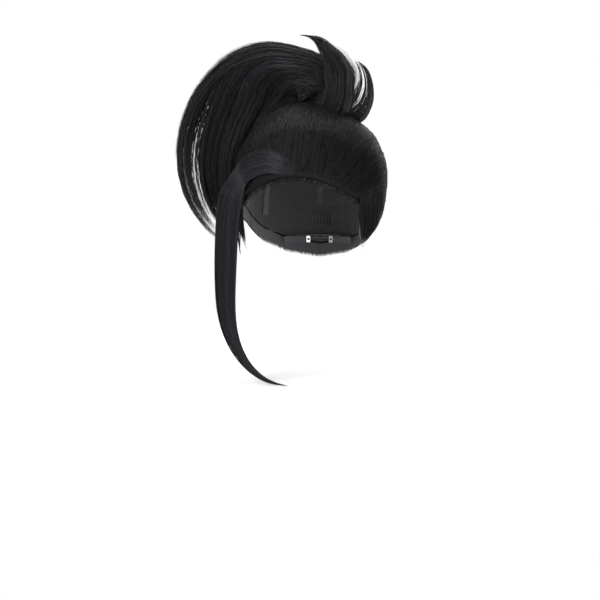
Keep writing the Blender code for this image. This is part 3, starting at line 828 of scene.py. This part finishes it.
def base_paths(rng, seeds, clump, on_edge, start):
    """Fine paths of the base hair, from directions of their roots to the ring round the post."""
    clumps = len(seeds)
    count = len(clump)
    length = rng.uniform(48, 84, clumps)[clump] + rng.normal(0, 3, count)
    bends = rng.normal(0, 0.075, (clumps, 3))[clump]
    own = rng.normal(0, 0.035, count)
    loose = np.where(rng.random(count) < 0.04, rng.normal(0, 0.2, count), 0)

    def bend(t):
        wave = bends[:, 0] + bends[:, 1] * math.sin(3.1 * t) + bends[:, 2] * math.sin(6.3 * t)
        return wave * 0.6 + own + loose

    way = comb(start, length, bend)
    t = np.linspace(0, 1, COMB_STEPS)[None]
    by_clump = way.reshape(clumps, STRANDS_PER_CLUMP, COMB_STEPS, 3)
    guide = unit(by_clump.mean(axis=1))[clump]
    way = unit(mix(way, guide, 0.45 * smoothstep(0.1, 0.9, t)[..., None]))
    lift = rng.uniform(-0.5, 0.5, clumps)[clump][:, None] - 0.1
    lift = lift + rng.normal(0, 0.25, count)[:, None] + 3.0 * np.abs(loose)[:, None]
    buried = np.where(on_edge, 0.0, -2.1)[:, None]
    lift = mix(buried + 0 * t, lift + 0 * t, smoothstep(0.0, 0.14, t))
    lift = lift - 0.9 * smoothstep(0.9, 1.0, t)
    points, part = way_surface(way, lift * MM)
    tuck = on_head(way, mix(0.4, 3.7, smoothstep(-0.036, -0.006, part)) * MM)
    return mix(tuck, points, smoothstep(-0.02, 0.045, part)[..., None])


def build_base_hair():
    rng = np.random.default_rng(60)
    seeds = base_seeds(rng)
    clumps = len(seeds)
    clump = np.repeat(np.arange(clumps), STRANDS_PER_CLUMP)
    count = len(clump)
    on_edge = seeds[clump, 2] > 0.5
    scatter = rng.normal(0, 1, (count, 2)) * np.where(on_edge, 0.55, 1.3)[:, None]
    scatter[:, 1] *= np.where(on_edge, 0.4, 1.0)
    seed_turn, seed_drop = seeds[clump, 0], seeds[clump, 1]
    turn = seed_turn + scatter[:, 0] / np.maximum(np.sin(np.radians(seed_drop)), 0.2)
    start = direction(turn, seed_drop + scatter[:, 1])
    points = base_paths(rng, seeds, clump, on_edge, start)
    curves = follow_up(points, BEND_WEIGHT, BASE_POINTS)
    widths = strand_widths(rng, (0.19, 0.31), curves, start=0.5, thin_from=0.8, end=0.4)
    shade = np.clip(rng.uniform(0, 0.55, clumps)[clump] + rng.random(count) * 0.45, 0, 1)
    facing = unit(curves - HAIR_CENTRE)
    home = (turn + 180) % 360 - 180
    for node, low, high in BASE_SECTORS:
        centre = (low + high) / 2
        pieces = (("", low, high),)
        if high - low >= WIDEST_PIECE:
            pieces = (("_a", low, centre), ("_b", centre, high))
        for ending, start_turn, end_turn in pieces:
            inside = ((home - start_turn) % 360) < end_turn - start_turn
            piece = strands(node + "_strands" + ending, curves[inside], widths[inside], HAIR,
                            shade[inside], facing[inside])
            finish_hair(piece, "cap", node if ending != "_b" else None)
        build_base_bed(node, low, high)


build_base_hair()


# ---- sideburns

# Turns of the ear tab's two edges and of its middle.
TAB_TURNS = (61.0, 83.0)
TAB_MIDDLE = 72.0
SIDEBURN_STRANDS = 760
SIDEBURN_LOCKS = 9


def build_sideburn(side, sign, seed):
    """Straight hair that leaves the side of the wig over the ear tab and narrows to a ragged tip."""
    rng = np.random.default_rng(seed)
    count = SIDEBURN_STRANDS
    across = rng.random(count)
    depth = rng.random(count) ** 0.7
    group = np.clip((across * SIDEBURN_LOCKS).astype(int), 0, SIDEBURN_LOCKS - 1)
    drawn = ((group + 0.5) / SIDEBURN_LOCKS)[:, None]
    t = np.linspace(0, 1, 40)[None]
    low, high = TAB_TURNS
    spread = mix(across[:, None], drawn, 0.6 * smoothstep(0.4, 1.0, t))
    turn = mix(low - 3.5, high + 5.0, spread)
    turn = mix(turn, low + 0.6 * (high - low), 0.45 * smoothstep(0.45, 1.0, t))
    # The drop of each strand's root and of its ragged end.
    middle_edge = cap_edge(TAB_MIDDLE)
    top = cap_edge(turn[:, :1]) - 5.0
    bottom = middle_edge + mix(22.0, 19.0, across)[:, None] + rng.normal(0, 1.2, (count, 1))
    bottom = bottom - rng.exponential(2.2, (count, 1)) - 4.0 * np.abs(across - 0.45)[:, None]
    straggler = (rng.random(count) < 0.03) & (across < 0.4)
    bottom = bottom + np.where(straggler, rng.uniform(3, 9, count), 0)[:, None]
    drop = mix(top, bottom, t)
    # The part that hangs over the ear tab, in millimetres over the head.
    outer = mix(14.6, 4.6, smoothstep(0.42, 1.0, t)) - 5.0 * (1 - smoothstep(0.0, 0.12, t))
    edge = np.sin(np.pi * mix(0.1, 0.9, across))[:, None] ** 0.5
    lift = mix(4.1, outer, depth[:, None] * edge * mix(1.0, 0.85, t))
    hanging = on_head(direction(sign * turn, drop), lift * MM)
    # The part that leaves the base hair, from a root sunk into it.
    reach = 0.3 * np.sin(np.pi * mix(0.04, 0.96, across)) ** 0.8 * rng.uniform(0.15, 1.0, count)
    above_edge = mix(reach[:, None], -0.02, smoothstep(0.0, 0.4, t)) + 0 * turn
    proud = mix(-2.6, 0.7, smoothstep(0.0, 0.2, t))
    proud = proud * mix(1.0, depth[:, None], smoothstep(0.1, 0.4, t))
    root_turn = sign * (turn + 22 * np.maximum(above_edge, 0))
    leaving = hair_surface(root_turn, above_edge, proud * MM)
    curves = mix(leaving, hanging, smoothstep(0.18, 0.5, t)[..., None])
    curves = follow_up(relax(curves, 4), BEND_WEIGHT, 17)
    widths = strand_widths(rng, (0.18, 0.28), curves, thin_from=0.6)
    shade = np.clip(rng.random(SIDEBURN_LOCKS)[group] * 0.4 + rng.random(count) * 0.5, 0, 1)
    facing = unit(curves - HEAD_CENTRE)
    piece = strands("sideburn_strands_" + side, curves, widths, HAIR, shade, facing)
    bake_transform(piece)
    finish_hair(piece, None, "sideburn_hair_" + side)


build_sideburn("left", 1, 81)
build_sideburn("right", -1, 82)


# ---- locks that follow the frame

def lock_frames(node, steps):
    """Centre, side and depth directions and half sizes along a CAD lock, root to tip."""
    centres, width, depth = lock_path(node)
    fine = catmull(centres, steps)
    along = np.concatenate([[0], np.cumsum(np.linalg.norm(np.diff(centres, axis=0), axis=1))])
    at = np.linspace(0, 1, steps)
    wide = np.interp(at, along / along[-1], width)
    thick = np.interp(at, along / along[-1], depth)
    return fine, *side_and_deep(fine), wide, thick


def disc(rng, count):
    """Even scatter over the unit disc, in two arrays."""
    radius = np.sqrt(rng.random(count))
    angle = rng.uniform(0, 2 * np.pi, count)
    return radius * np.cos(angle), radius * np.sin(angle)


# Knots of the lock's lower and upper edge over the head: turn, part and lift in millimetres.
LOCK_LOWER = ((0, -0.01, 0.6), (-12, 0.02, 1.8), (-25, 0.06, 2.8), (-37, 0.07, 3.6), (-48, 0.055, 4.5))
LOCK_UPPER = ((9, 0.015, 0.5), (-7, 0.11, 2.2), (-25, 0.19, 3.2), (-43, 0.21, 4.0), (-55, 0.19, 5.0))
# Below this height the lock follows the CAD lock.
LOCK_FREE_HEIGHT = -72 * MM
LOCK_STRANDS = 1150
LOCK_GROUPS = 10
LOCK_FRAMES = 90


def lock_body(rng, centre, side, deep, wide, thick, sign):
    """Fine paths inside the CAD lock, drawn into groups, with where each strand and group lies."""
    across, inward = disc(rng, LOCK_STRANDS)
    outer = (across + 1) / 2
    group = np.clip((outer * LOCK_GROUPS).astype(int), 0, LOCK_GROUPS - 1)
    group_depth = rng.uniform(-1, 1, LOCK_GROUPS)[group][:, None] * 1.1 * MM
    group_across = (group + 0.5) / LOCK_GROUPS * 2 - 1
    t = np.linspace(0, 1, LOCK_FRAMES)
    drawn = 0.55 * smoothstep(0.4, 0.9, t)[None]
    place = across[:, None] + (group_across - across)[:, None] * drawn
    growth = 1.32 + 0.2 * smoothstep(0.45, 0.7, t)
    offset_side = sign * place * (wide * growth)[None]
    ridges = group_depth * smoothstep(0.1, 0.5, t)[None] * (1 - t[None] ** 2)
    offset_deep = inward[:, None] * thick[None] + ridges
    body = centre[None] + side[None] * offset_side[..., None] + deep[None] * offset_deep[..., None]
    return body, outer, inward, group


def lock_arc(rng, outer, inward):
    """Knots of every strand over the head, between the lock's lower and upper edge."""
    count = len(outer)
    lower, upper = np.array(LOCK_LOWER), np.array(LOCK_UPPER)
    between = np.clip(outer + rng.normal(0, 0.06, count), 0, 1)[:, None, None]
    arc = lower[None] + (upper - lower)[None] * between
    arc[:, :2, 0] += rng.normal(0, 3.5, (count, 1)) * np.array([1.0, 0.4])
    arc[:, :2, 1] += np.abs(rng.normal(0, 0.012, (count, 1)))
    rise = (arc[..., 2] * mix(0.75, 1.15, (inward + 1) / 2)[:, None]) * MM
    return hair_surface(arc[..., 0], arc[..., 1], rise)


def build_side_lock():
    """Strands that rise from the front hairline and gather into the long lock."""
    rng = np.random.default_rng(91)
    count = LOCK_STRANDS
    centre, side, deep, wide, thick = lock_frames("side_lock", LOCK_FRAMES)
    first = np.flatnonzero(centre[:, 2] < LOCK_FREE_HEIGHT)[0]
    sign = 1.0 if side[first, 0] < 0 else -1.0
    body, outer, inward, group = lock_body(rng, centre, side, deep, wide, thick, sign)
    over_head = lock_arc(rng, outer, inward)
    paths = []
    skip = rng.random(count) < 0.75
    begin = rng.uniform(0.0, 0.3, count) * skip
    stop = 1 - np.minimum(rng.exponential(0.035, count), 0.35)
    places = np.arange(120)
    for row in range(count):
        knots = np.concatenate([over_head[row], body[row, first:][::7], body[row, -1:]])
        fine = catmull(knots, len(places))
        paths.append(points_at(fine, places, np.linspace(begin[row], stop[row], 72) * places[-1]))
    paths = relax(np.array(paths), 4)
    t = np.linspace(0, 1, 72)[None]
    sunk = 2.6 * MM * (1 - smoothstep(0.0, 0.08, t[..., None]))
    paths = paths - unit(paths - HAIR_CENTRE) * sunk
    wave = np.sin(5 * t + rng.uniform(0, 6.28, (LOCK_GROUPS, 1))[group])
    paths[..., 1] += wave * 0.8 * MM * smoothstep(0.3, 0.6, t)
    curves = follow_up(paths, BEND_WEIGHT, 29)
    widths = strand_widths(rng, (0.2, 0.34), curves, thin_from=0.72)
    shade = rng.random(LOCK_GROUPS)[group] * 0.7 + rng.random(count) ** 2 * 0.6
    piece = strands("side_lock_strands", curves, widths, LOCK_HAIR_PAINTED_LIGHT, np.clip(shade, 0, 1))
    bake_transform(piece)
    finish_hair(piece, None, "side_lock")


# Wisps of the temple: outward and depth shift and width in millimetres, end as a share of the
# CAD lock's length, and strands.
TEMPLE_WISPS = ((0, 0, 2.6, 1, 60), (-2.5, 1, 1.4, 0.9, 24))
WISP_FRAMES = 70


def build_temple_wisp():
    """Pointed wisps along the short CAD lock in front of the ear."""
    rng = np.random.default_rng(92)
    centre, side, deep, _, _ = lock_frames("temple_wisp", WISP_FRAMES)
    t = np.linspace(0, 1, WISP_FRAMES)
    away = centre - SWIRL_CENTRE
    outward = np.where((side * away).sum(axis=1).mean() > 0, 1.0, -1.0)
    rows = []
    for shift, shift_deep, width, end, number in TEMPLE_WISPS:
        across, inward = disc(rng, number)
        bulge = np.sin(np.pi * np.clip(t / end, 0, 1)) ** 0.7
        narrow = 1 - smoothstep(0.15, 1.0, t / end)
        offset_side = outward * (shift * bulge[None] + across[:, None] * width * narrow[None]) * MM
        offset_deep = (shift_deep * bulge[None] + inward[:, None] * width * 0.8 * narrow[None]) * MM
        sway = rng.normal(0, 0.35, (number, 1))
        sway = sway * np.sin(t[None] * 7 + rng.uniform(0, 6.28, (number, 1))) * MM
        fine = centre[None] + side[None] * (offset_side + sway)[..., None]
        fine = fine + deep[None] * offset_deep[..., None]
        stop = end - np.minimum(rng.exponential(0.035, number), 0.3)
        for row in range(number):
            rows.append(points_at(fine[row], t, np.linspace(0, stop[row], 50)))
    curves = follow_up(relax(np.array(rows), 2), BEND_WEIGHT, 20)
    widths = strand_widths(rng, (0.17, 0.28), curves, thin_from=0.55)
    shade = rng.random(len(curves)) * 0.8
    piece = strands("temple_wisp_strands", curves, widths, HAIR, shade)
    finish_hair(piece, "side_lock", "temple_wisp")


def build_lock_weft():
    """Narrow tape under the lock's root, with the thread that is whipped over it."""
    turn, part = np.meshgrid(np.linspace(-25.5, -10.5, 40), np.linspace(0.132, 0.158, 5))
    inner = hair_surface(turn, part, np.full_like(turn, -1.6) * MM)
    ribs = -1.0 + 0.12 * np.sin(turn * 24)
    outer = hair_surface(turn, part, ribs * MM)
    piece = slab("side_lock_weft_tape", inner, outer, WEFT)
    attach(piece, "cap")
    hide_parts("side_lock_weft")


build_side_lock()
build_lock_weft()
build_temple_wisp()


# ---- pointed sheets, top right

# Edges of the pointed sheets, across and up from the swirl's middle, in millimetres.
TOP_SHEET_OUTER = (
    (42, -18), (55, -14), (61, 0), (62, 18), (63, 32), (61, 40), (56, 48), (49, 58), (38, 67), (29, 74),
    (18, 77.5), (-1, 79))
TOP_SHEET_INNER = (
    (18, -14), (28, -7), (35, 6), (38, 20), (36, 34), (33, 45), (27, 57), (22, 66), (16, 73), (9, 77),
    (4, 78), (-1, 79))
RIGHT_SHEET_OUTER = (
    (40, -20), (58, -25), (71, -21), (80, -8), (84, 6), (83, 22), (79, 36), (73, 44), (63, 51))
RIGHT_SHEET_INNER = (
    (34, -8), (48, -6), (60, 2), (67, 12), (71, 22), (71, 32), (69, 40), (67, 45), (63, 51))
# Wisps of each sheet: place from the inner edge (0) to the outer (1), spread, depth and depth
# spread in millimetres, end as a share of the sheet's length, and strands.
TOP_ROW = 26
TOP_DEPTHS = (-20, -6, 5, -13, 9)
TOP_ENDS = (1.0, 0.9, 0.97, 0.82)
TOP_WISPS = [
    ((index + 0.5) / TOP_ROW, 0.11, TOP_DEPTHS[index % 5], 8, TOP_ENDS[index % 4], 22)
    for index in range(TOP_ROW)]
TOP_WISPS += [
    (1.08, 0.06, -10, 6, 0.62, 9), (1.17, 0.05, -4, 5, 0.7, 6), (0.99, 0.03, 8, 6, 0.74, 10),
    (-0.12, 0.12, -14, 10, 0.55, 30), (-0.3, 0.14, -10, 12, 0.4, 30)]
RIGHT_WISPS = (
    (0.36, 0.09, 12, 8, 0.96, 22), (0.52, 0.07, 18, 6, 0.93, 18), (0.66, 0.07, 10, 6, 0.98, 24),
    (0.8, 0.06, 20, 6, 0.95, 28), (0.9, 0.05, 14, 6, 1.0, 40), (0.98, 0.03, 17, 5, 0.98, 26),
    (0.2, 0.3, 14, 12, 0.5, 40), (0.7, 0.35, 14, 12, 0.45, 50), (0.45, 0.5, 14, 10, 0.62, 40),
    (0.8, 0.22, 14, 10, 0.84, 44), (1.06, 0.03, 16, 5, 0.78, 5))
SMALL_WISPS = (
    (0.0, 0.06, 2, 6, 1.0, 22), (0.14, 0.05, 6, 5, 0.95, 14), (-0.12, 0.04, 0, 5, 0.8, 8))
SHEET_FRAMES = 60
# A wisp with fewer strands than this drifts less.
FULL_DRIFT_STRANDS = 30


def sheet_edge(points):
    """Fine edge of a sheet, from points across and up, with its depth left at 0."""
    return catmull(np.insert(np.array(points, float), 1, 0.0, axis=1), SHEET_FRAMES)


def sheet_curves(rng, outer, inner, wisps, tip_depth):
    """Curves of a sheet between its two edges, which end near one depth."""
    outer, inner = sheet_edge(outer), sheet_edge(inner)
    share = np.linspace(0, 1, SHEET_FRAMES)
    t = share[None, :, None]
    rows = []
    for place, spread, depth, depth_spread, end, number in wisps:
        across = place + spread * rng.uniform(-1, 1, (number, 1, 1))
        across = mix(across, place, 0.45 * smoothstep(0.3, 1.0, t))
        flat = mix(inner[None], outer[None], across)[..., [0, 2]]
        deep = depth + depth_spread * rng.uniform(-1, 1, (number, 1, 1))
        deep = mix(deep, tip_depth, 0.72 * smoothstep(0.25, 1.0, t))
        sway = np.sin(t * rng.uniform(3, 8, (number, 1, 1)) + rng.uniform(0, 6.28, (number, 1, 1)))
        flat = flat + 0.5 * sway * np.array([1.0, 0.4]) * smoothstep(0.05, 0.4, t)
        drift = np.sin(t * rng.uniform(2, 5) + rng.uniform(0, 6.28))
        drift = drift * smoothstep(0.1, 0.4, t) * (1 - t) * 2.4
        size = min(number, FULL_DRIFT_STRANDS)
        flat = flat + drift * np.array([1.0, 0.5]) * size / FULL_DRIFT_STRANDS
        fine = np.concatenate([flat[..., :1], deep, flat[..., 1:]], axis=2) * MM
        fine = np.array([SWIRL_CENTRE[0], 0, SWIRL_CENTRE[2]]) + fine
        stop = end - np.minimum(rng.exponential(0.03, number), 0.25)
        first = rng.uniform(0.0, 0.14, number)
        for row in range(number):
            rows.append(points_at(fine[row], share, mix(first[row], stop[row], share)))
    sunk = mix(-3.0, 0.9, smoothstep(0.0, 0.12, t)) * MM
    return relax(outside_hair(np.array(rows), sunk), 3)


def build_sheet(node, seed, outer, inner, wisps, tip_depth):
    rng = np.random.default_rng(seed)
    curves = follow_up(sheet_curves(rng, outer, inner, wisps, tip_depth), BEND_WEIGHT, 22)
    widths = strand_widths(rng, (0.2, 0.32), curves, thin_from=0.55)
    shade = np.concatenate([clump_shade(rng, 0.8, wisp[-1]) for wisp in wisps])
    piece = strands(node + "_strands", curves, widths, LOOSE_HAIR_PAINTED_LIGHT, shade)
    finish_hair(piece, "ponytail", node)


build_sheet("top_spike", 93, TOP_SHEET_OUTER, TOP_SHEET_INNER, TOP_WISPS, -13)
build_sheet("right_spike", 94, RIGHT_SHEET_OUTER, RIGHT_SHEET_INNER, RIGHT_WISPS, 16)
build_sheet("small_spike", 95, RIGHT_SHEET_OUTER, RIGHT_SHEET_INNER, SMALL_WISPS, 0)


# ---- post

POST_STRANDS = 520


def build_post():
    """Upright stub of gathered hair, nipped in by the elastic."""
    rng = np.random.default_rng(97)
    low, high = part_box("ponytail_post")
    band = box_centre("post_elastic")
    x, y = disc(rng, POST_STRANDS)
    t = np.linspace(0, 1, 24)[None]
    radius = (high.x - low.x) / 2 - 0.4 * MM
    length = high.z - low.z - rng.exponential(2.2, (POST_STRANDS, 1)) * MM
    height = low.z + length * t
    squeeze = 1 - 0.16 * np.exp(-((height - band[2]) / (4 * MM)) ** 2)
    points = np.stack([
        POST_CENTRE[0] + x[:, None] * radius * squeeze,
        POST_CENTRE[1] + y[:, None] * radius * squeeze,
        height,
    ], axis=-1)
    points[..., 0] += 0.5 * MM * np.sin(t * 6 + rng.uniform(0, 6.28, (POST_STRANDS, 1)))
    curves = follow_up(points, BEND_WEIGHT, 12)
    widths = strand_widths(rng, (0.3, 0.45), curves)
    facing = unit(curves - POST_CENTRE + np.array([0, 1e-5, 0]))
    shade = np.random.default_rng(97).random(POST_STRANDS)
    piece = strands("ponytail_post_strands", curves, widths, HAIR, shade, facing)
    finish_hair(piece, "post", "ponytail_post")


build_post()


# ---- looks of the CAD pieces shown

for subpart in frame["record"]["subparts"]:
    node_object = frame["nodes"][subpart.get("node") or subpart["name"]]
    if not node_object.hide_render:
        node_object.data.materials.clear()
        node_object.data.materials.append(SLOT_MATERIALS[subpart["material_slot"]])


# ---- floor, light and camera

BACKGROUND = (1.0, 1.0, 1.0, 1)
# Lighting from all round, as a share of the brightness the background is shown at.
AMBIENT_STRENGTH = 0.5
FLOOR_RADII = (0.3, 0.6, 1.0, 2.0, 5.0, 40.0)
FLOOR_SPOKES = 48
# The floor fades into the background between these distances.
FLOOR_FADE = (0.45, 0.95)
CAMERA_AZIMUTH = math.radians(10)
CAMERA_HEIGHT = math.radians(5)
CAMERA_DISTANCE = 1.8
# The camera looks at this point, to the right and up in its own picture.
CAMERA_AIM = (-0.0096, -0.204)
LIGHT_TARGET = Vector((-0.03, 0.0, -0.08))
# Name, place, size and power of each lamp.
LIGHTS = (
    ("key_light", (-1.3, -1.9, 1.5), (1.4, 1.4), 54),
    ("fill_light", (1.5, -1.9, 0.5), (1.8, 1.8), 36),
    ("rim_light", (0.6, 1.6, 1.4), (1.4, 1.2), 26),
    ("top_light", (0.0, 0.1, 1.9), (1.2, 1.2), 26),
)


def add_light(name, place, size, power):
    data = bpy.data.lights.new(name, "AREA")
    data.shape = "RECTANGLE"
    data.size, data.size_y = size
    data.energy = power
    lamp = bpy.data.objects.new(name, data)
    lamp.location = place
    lamp.rotation_euler = (LIGHT_TARGET - Vector(place)).to_track_quat("-Z", "Y").to_euler()
    bpy.context.scene.collection.objects.link(lamp)


def floor_mesh():
    """Disc of rings and spokes just under the wig's lowest point."""
    level = CAD_BOX[0][2] - 1 * MM
    vertices = [(0, 0, level)]
    for radius in FLOOR_RADII:
        for spoke in range(FLOOR_SPOKES):
            angle = 2 * math.pi * spoke / FLOOR_SPOKES
            vertices.append((radius * math.cos(angle), radius * math.sin(angle), level))
    pairs = [(spoke, (spoke + 1) % FLOOR_SPOKES) for spoke in range(FLOOR_SPOKES)]
    faces = [(0, 1 + a, 1 + b) for a, b in pairs]
    for ring in range(len(FLOOR_RADII) - 1):
        near = 1 + ring * FLOOR_SPOKES
        far = near + FLOOR_SPOKES
        faces += [(near + a, far + a, far + b, near + b) for a, b in pairs]
    mesh = bpy.data.meshes.new("studio_floor")
    mesh.from_pydata(vertices, [], faces)
    return mesh


def build_floor():
    """Round pale floor that fades into the even background towards its rim."""
    mesh = floor_mesh()
    material, tree, shader = node_material("studio_paper")
    mottle = add_node(tree, "TexNoise", {"Scale": 3.0}, "Fac")
    feed(tree, shader, {
        "Base Color": add_ramp(tree, mottle, (0.86, 0.86, 0.87), (0.90, 0.90, 0.91)),
        "Roughness": 0.9,
        "Specular IOR Level": 0.1,
    })
    place = add_node(tree, "NewGeometry", {}, "Position")
    far = add_node(tree, "VectorMath", {0: place}, "Value", operation="LENGTH")
    limits = {"Value": far, "From Min": FLOOR_FADE[0], "From Max": FLOOR_FADE[1]}
    fade = add_node(tree, "MapRange", limits, interpolation_type="SMOOTHSTEP")
    even = add_node(tree, "Emission", {"Color": BACKGROUND, "Strength": 1.0})
    blend = add_node(tree, "MixShader", {0: fade, 1: shader.outputs[0], 2: even})
    output = next(n for n in tree.nodes if n.type == "OUTPUT_MATERIAL")
    feed(tree, output, {"Surface": blend})
    mesh.materials.append(material)
    floor = bpy.data.objects.new("studio_floor", mesh)
    bpy.context.scene.collection.objects.link(floor)


def build_world():
    """Even background, brighter to the camera than as a light."""
    world = bpy.data.worlds.new("studio_world")
    world.use_nodes = True
    tree = world.node_tree
    to_camera = add_node(tree, "LightPath", {}, "Is Camera Ray")
    limits = {"Value": to_camera, "To Min": AMBIENT_STRENGTH, "To Max": 1.0}
    strength = add_node(tree, "MapRange", limits)
    feed(tree, tree.nodes["Background"], {"Color": BACKGROUND, "Strength": strength})
    bpy.context.scene.world = world


def build_camera():
    level = math.cos(CAMERA_HEIGHT)
    back = Vector((
        math.sin(CAMERA_AZIMUTH) * level,
        -math.cos(CAMERA_AZIMUTH) * level,
        math.sin(CAMERA_HEIGHT),
    ))
    right = Vector((math.cos(CAMERA_AZIMUTH), math.sin(CAMERA_AZIMUTH), 0))
    target = right * CAMERA_AIM[0] + back.cross(right) * CAMERA_AIM[1]
    data = bpy.data.cameras.new("photo_camera")
    data.lens = 90
    data.sensor_width = 36
    data.clip_end = 50
    camera = bpy.data.objects.new("photo_camera", data)
    camera.location = target + back * CAMERA_DISTANCE
    camera.rotation_euler = back.to_track_quat("Z", "Y").to_euler()
    bpy.context.scene.collection.objects.link(camera)
    bpy.context.scene.camera = camera


bpy.context.scene.view_settings.view_transform = "Standard"
build_floor()
build_world()
build_camera()
for light in LIGHTS:
    add_light(*light)
